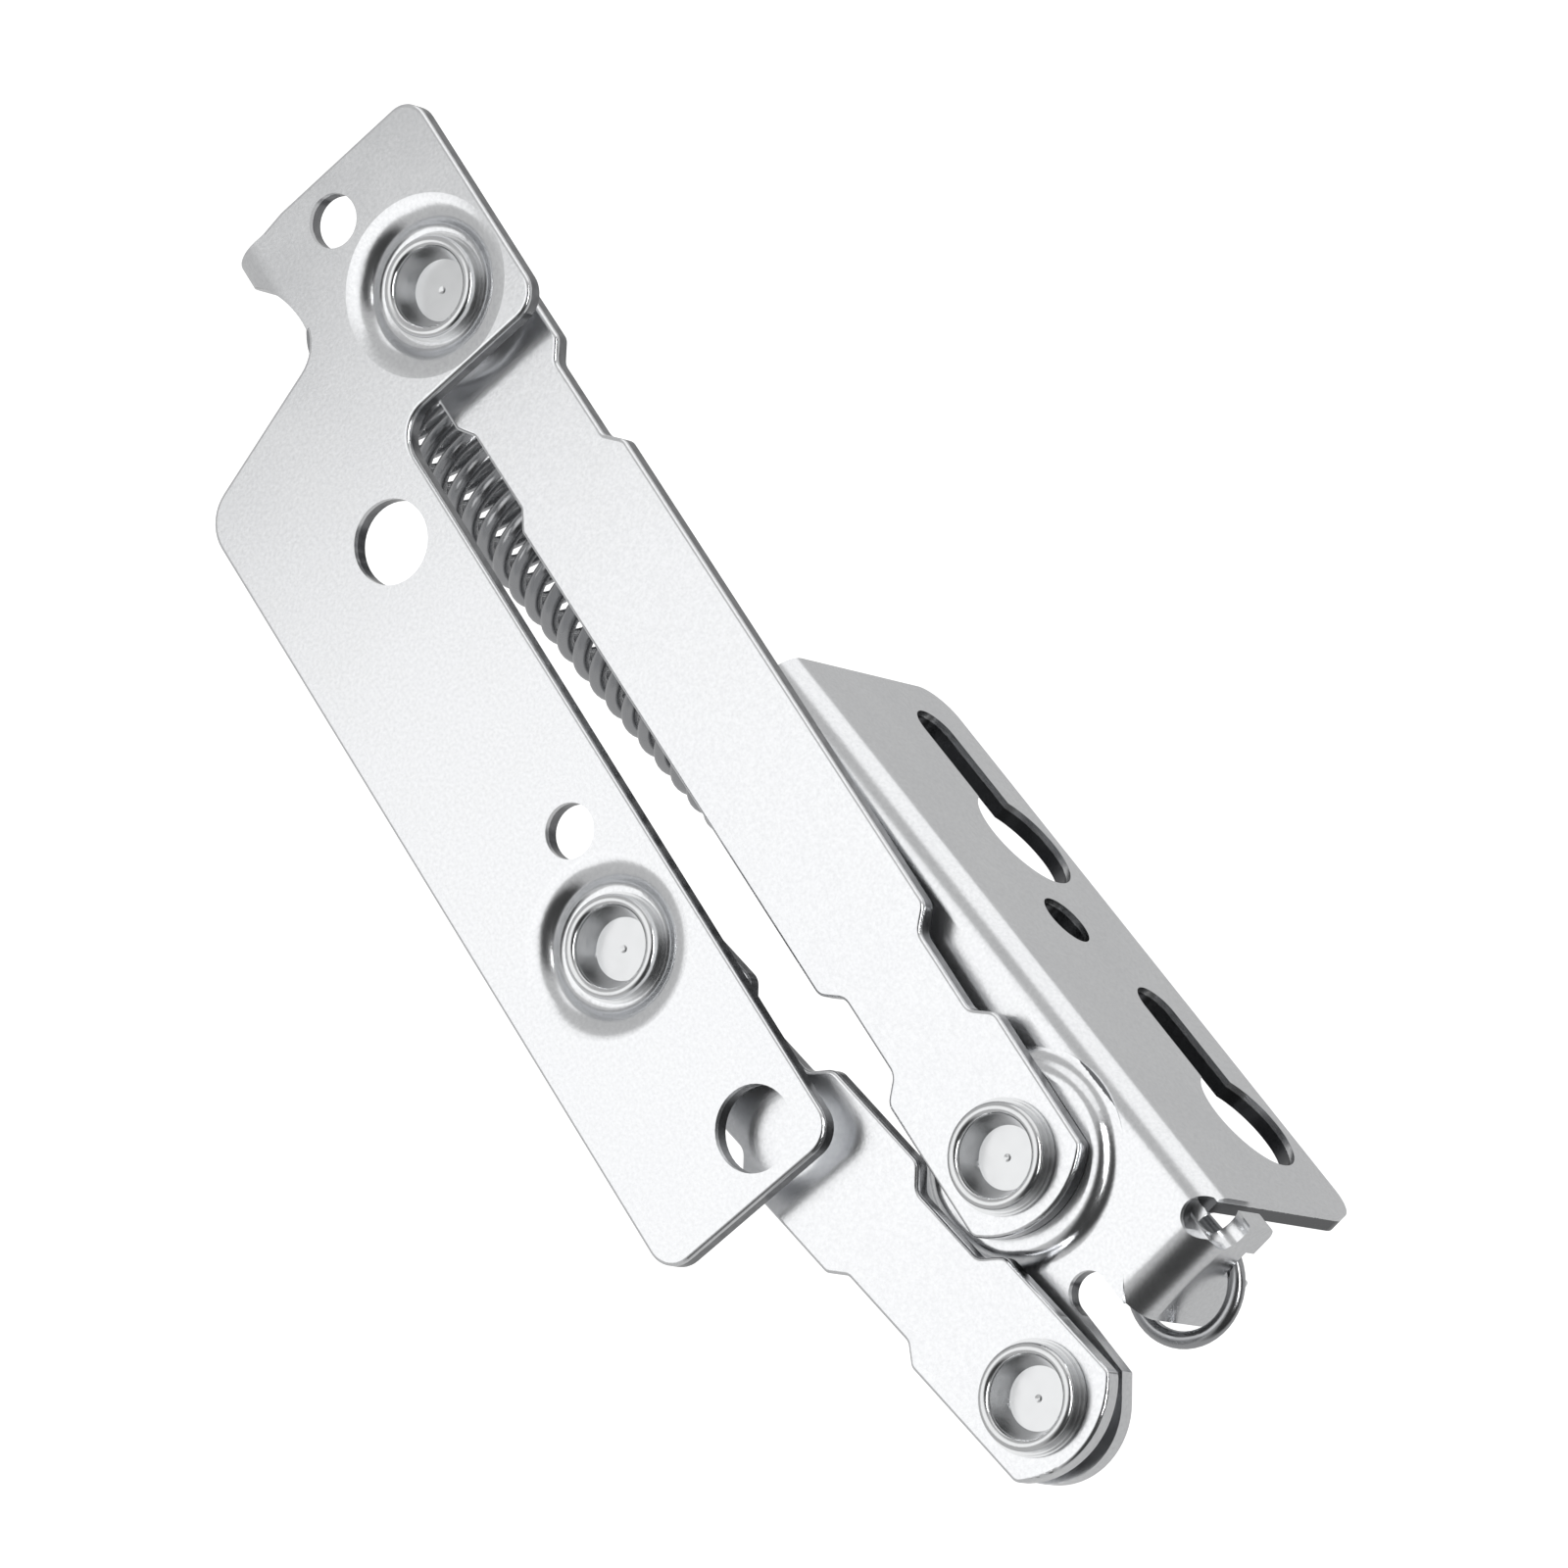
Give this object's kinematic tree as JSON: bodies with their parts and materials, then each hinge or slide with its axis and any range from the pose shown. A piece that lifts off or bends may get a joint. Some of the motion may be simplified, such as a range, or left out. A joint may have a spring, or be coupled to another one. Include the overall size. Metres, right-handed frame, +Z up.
{
  "type": "lift-up cabinet hinge",
  "caption": "Lift-up flap hinge: side plate, long arm and short link carry a folded door bracket, with a long extension spring hooked between bracket and plate.",
  "frame": {"origin": "centre of the lower large screw hole, in the face that lies on the cabinet side wall", "axes": "+X out of that face into the side wall, +Z up the cabinet side, -Y outward to the door; stored closed, with the door bracket at its closed stop"},
  "size_m": [0.0282, 0.0369, 0.1164],
  "materials": {
    "zinc_sheet": "bright zinc plate, fine matte grain",
    "rivet_steel": "bright zinc plate, pressed smooth",
    "spring_wire": "drawn wire, smooth and dark bright"
  },
  "bodies": {
    "plate_body": {"cabinet_plate": "zinc_sheet", "arm_plate_rivet": "rivet_steel", "link_plate_rivet_head": "rivet_steel"},
    "arm_body": {"long_arm": "zinc_sheet"},
    "bracket_body": {"door_bracket": "zinc_sheet", "arm_bracket_rivet": "rivet_steel", "link_bracket_rivet": "rivet_steel", "arm_bracket_washer": "rivet_steel", "link_bracket_washer": "rivet_steel", "link_bracket_spacer": "rivet_steel"},
    "link_body": {"short_link": "zinc_sheet", "link_plate_rivet_tail": "rivet_steel"},
    "spring_body": {"tension_spring": "spring_wire"}
  },
  "joints": [
    {"name": "arm_swing", "type": "hinge", "parent": "plate_body", "child": "arm_body", "pos_m": [0, -0.0132, -0.014], "axis": [1, 0, 0], "range_deg": [0, 35.1]},
    {"name": "bracket_turn", "type": "hinge", "parent": "arm_body", "child": "bracket_body", "pos_m": [0, -0.01399, 0.068], "axis": [1, 0, 0], "range_deg": [-115.2, 0]},
    {"name": "link_turn", "type": "hinge", "parent": "bracket_body", "child": "link_body", "pos_m": [0, -0.00619, 0.0836], "axis": [1, 0, 0], "range_deg": [0, 146.3]},
    {"name": "spring_swing", "type": "hinge", "parent": "plate_body", "child": "spring_body", "pos_m": [-0.0128, -0.00163, -0.02199], "axis": [1, 0, 0], "range_deg": [0, 22.4], "deforming": ["tension_spring"]}
  ],
  "couplings": [
    {"joint": "bracket_turn", "follows": "arm_swing", "ratio": -3.2792},
    {"joint": "link_turn", "follows": "arm_swing", "ratio": 4.1652},
    {"joint": "spring_swing", "follows": "arm_swing", "ratio": 0.63861}
  ]
}
